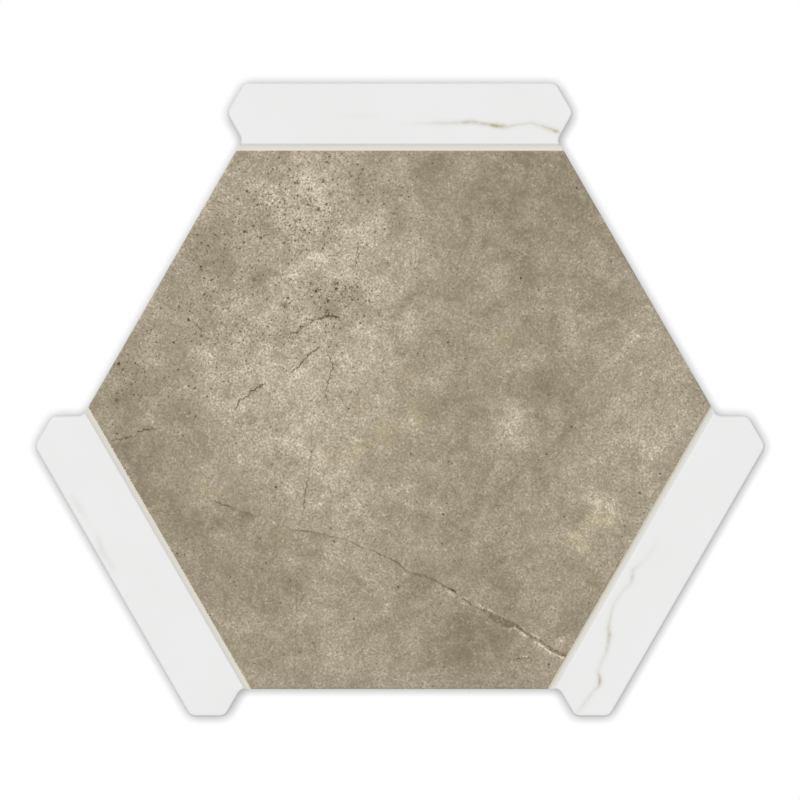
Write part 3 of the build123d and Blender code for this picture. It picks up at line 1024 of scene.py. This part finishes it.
def paintFields(mesh):
    # what the glazes read: print tone, cracks, veins and the distance to the edge
    points = meshPoints(mesh)[:, :2]
    crackAway, crackValues = strokeField(points, [longCrack])
    hairAway, hairValues = strokeField(points, hairCracks)
    veinAway, veinValues = strokeField(points, veins + veinShades)
    rimAway, rimValues = strokeField(points, crackRims)
    across = ((points - plan["printShift"]) @ stripNormals.T).max(1)
    chance = np.random.default_rng(stone["seed"]).random(len(points))

    light = sumOfPatches(wander(points), clouds)
    below, above = stone["crackShade"]
    shade = np.exp(-((np.minimum(crackAway, 0) / below) ** 2))
    shade *= np.exp(-((np.maximum(crackAway, 0) / above) ** 2))
    light -= crackValues[:, 2] * shade * (crackValues[:, 0] > 0)
    least, more = stone["rimPatchy"]
    halfWidth = np.maximum(rimValues[:, 0], stone["rimLeast"])
    chipped = np.exp(-((rimAway / halfWidth) ** 2)) * (rimValues[:, 0] > 0)
    light += chipped * rimValues[:, 1] * (least + more * chance)
    least, more = stone["pitPatchy"]
    for x, y, radius, darkness in pits:
        away = np.hypot(points[:, 0] - x, points[:, 1] - y) / radius
        light -= darkness * np.exp(-(away**3)) * (least + more * chance)
    tint = np.where(across > plan["fieldHalf"], veinValues[:, 2], sumOfPatches(points, ochreStains))

    fields = {
        "tone": (light, sumOfPatches(points, pitted), tint),
        "crack": (crackAway, *crackValues.T[:2]),
        "hair": (hairAway, *hairValues.T),
        "vein": (veinAway, *veinValues.T[:2]),
    }
    for name, values in fields.items():
        layer = mesh.attributes.new(name, "FLOAT_VECTOR", "POINT")
        layer.data.foreach_set("vector", np.column_stack(values).astype(np.float32).ravel())
    for name, values in (("rim", nearestOnOutline(points)[0]), ("across", across)):
        layer = mesh.attributes.new(name, "FLOAT", "POINT")
        layer.data.foreach_set("value", values.astype(np.float32))


# Map for a baked texture: the printed face takes most of it, the back and the sides lie below
bakeMap = {
    "margin": 0.008,
    "backHeight": 0.12,
    "sideHeight": 0.04,
    "sideLean": 0.1,  # upward part of a normal, below which a face belongs to the sides
}


def unwrapTile(mesh):
    corners = np.empty(len(mesh.loops), int)
    mesh.loops.foreach_get("vertex_index", corners)
    points = meshPoints(mesh)
    low, high = np.array(tileLow[:2]) / mm, np.array(tileHigh[:2]) / mm
    width, height = high - low
    margin = bakeMap["margin"]
    faceScale = (1 - 2 * margin) / width
    backScale = bakeMap["backHeight"] / height
    onFace = (points[:, :2] - low) * faceScale + (margin, 1 - margin - height * faceScale)
    onBack = (points[:, :2] - low) * backScale + margin

    # the sides, unrolled along the outline
    around = nearestOnOutline(points[:, :2])[1] % len(outline)
    sideStart = 2 * margin + width * backScale
    sideStep = (1 - margin - sideStart) / len(outline)
    sideHeights = margin + points[:, 2] * bakeMap["sideHeight"] / thickness

    spots = onFace[corners]
    for polygon in mesh.polygons:
        if polygon.material_index != bodySlot:
            continue
        loops = slice(polygon.loop_start, polygon.loop_start + polygon.loop_total)
        picked = corners[loops]
        if abs(polygon.normal.z) > bakeMap["sideLean"]:
            spots[loops] = onBack[picked]
            continue
        steps = around[picked]
        if np.ptp(steps) > len(outline) / 2:  # the seam, where the outline's count starts anew
            steps = np.where(steps < len(outline) / 2, steps + len(outline), steps)
        spots[loops] = np.stack((sideStart + steps * sideStep, sideHeights[picked]), 1)
    layer = mesh.uv_layers.new(name="OFBake")
    layer.data.foreach_set("uv", spots.astype(np.float32).ravel())
    print("map: from", spots.min(0), "to", spots.max(0))


tile = bpy.data.objects.new("picketTile", tileMesh())
bpy.context.scene.collection.objects.link(tile)
for finish in finishes:
    tile.data.materials.append(finish)
paintFields(tile.data)
unwrapTile(tile.data)
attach(tile, "root")
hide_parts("tile")
print("tile painted")

# Floor, light and camera
studio = {
    "floorSize": 12.0,  # metres
    "floorLevel": -0.2,  # mm, just clear of the back
    "floorGrey": "#B4B4B4",  # what the floor throws back on to the tile's edges
    "shadowReach": 4.4,
    "shadowDepth": 0.8,
    "shadowLean": (-0.12, 0.18, 0.98),  # leans to the light, so the shadow is wider on the far side
    "shadowSamples": 16,
    "skyLevel": 0.73,
    "sunLevel": 0.27,
    "sunFrom": (-0.58, 0.82, 1.0),
    "sunAngle": 25.0,  # degrees
    "frameWidth": 0.36,  # metres across the picture, at the tile's face
    "frameCentre": (0.0, 0.00675),
    "cameraHeight": 2.5,
    "sensor": 36.0,
}


def seenPlainly(add):
    # 1 for camera, glossy and transmission rays, which see the plain white surround
    path = add("ShaderNodeLightPath").outputs
    seen = add("ShaderNodeMath", {0: path["Is Camera Ray"], 1: path["Is Glossy Ray"]}, operation="MAXIMUM")
    return add("ShaderNodeMath", {0: seen, 1: path["Is Transmission Ray"]}, operation="MAXIMUM")


def makeFloor():
    half = studio["floorSize"] / 2
    level = studio["floorLevel"] * mm
    corners = [(x * half, y * half, level) for x, y in ((-1, -1), (1, -1), (1, 1), (-1, 1))]
    mesh = bpy.data.meshes.new("floor")
    mesh.from_pydata(corners, [], [(0, 1, 2, 3)])
    floor = bpy.data.objects.new("floor", mesh)
    bpy.context.scene.collection.objects.link(floor)
    material = bpy.data.materials.new("paleFloor")
    material.use_nodes = True
    material.node_tree.nodes.clear()
    add = partial(addNode, material.node_tree)
    lean = add("ShaderNodeCombineXYZ", dict(zip("XYZ", studio["shadowLean"])))
    around = {"Distance": studio["shadowReach"] * mm, "Normal": lean}
    clear = add("ShaderNodeAmbientOcclusion", around, samples=studio["shadowSamples"]).outputs["AO"]
    depth = studio["shadowDepth"]
    bright = add("ShaderNodeMath", {0: clear, 1: depth, 2: 1 - depth}, operation="MULTIPLY_ADD")
    white = add("ShaderNodeEmission", {"Strength": bright})
    grey = add("ShaderNodeBsdfDiffuse", {"Color": linearColour(studio["floorGrey"])})
    mix = add("ShaderNodeMixShader", {0: seenPlainly(add), 1: grey, 2: white})
    add("ShaderNodeOutputMaterial", {"Surface": mix})
    mesh.materials.append(material)


def makeLight():
    world = bpy.data.worlds.new("softStudio")
    bpy.context.scene.world = world
    world.use_nodes = True
    world.node_tree.nodes.clear()
    add = partial(addNode, world.node_tree)
    sky = add("ShaderNodeBackground", {"Color": (1, 1, 1, 1), "Strength": studio["skyLevel"]})
    white = add("ShaderNodeBackground", {"Color": (1, 1, 1, 1), "Strength": 1.0})
    mix = add("ShaderNodeMixShader", {0: seenPlainly(add), 1: sky, 2: white})
    add("ShaderNodeOutputWorld", {"Surface": mix})
    towards = np.array(studio["sunFrom"]) / np.linalg.norm(studio["sunFrom"])
    lamp = bpy.data.lights.new("upperLeftLamp", "SUN")
    lamp.energy = studio["sunLevel"] * math.pi / towards[2]
    lamp.angle = math.radians(studio["sunAngle"])
    sun = bpy.data.objects.new("upperLeftLamp", lamp)
    bpy.context.scene.collection.objects.link(sun)
    tilt = math.acos(towards[2])
    sun.rotation_euler = (tilt, 0, math.atan2(towards[1], towards[0]) + math.pi / 2)


def makeCamera():
    lens = bpy.data.cameras.new("camera")
    lens.sensor_width = studio["sensor"]
    lens.lens = studio["sensor"] * studio["cameraHeight"] / studio["frameWidth"]
    camera = bpy.data.objects.new("camera", lens)
    camera.location = (*studio["frameCentre"], studio["cameraHeight"] + thickness * mm)
    bpy.context.scene.collection.objects.link(camera)
    bpy.context.scene.camera = camera


makeFloor()
makeLight()
makeCamera()
bpy.context.scene.view_settings.view_transform = "Standard"
print("floor, light and camera set")
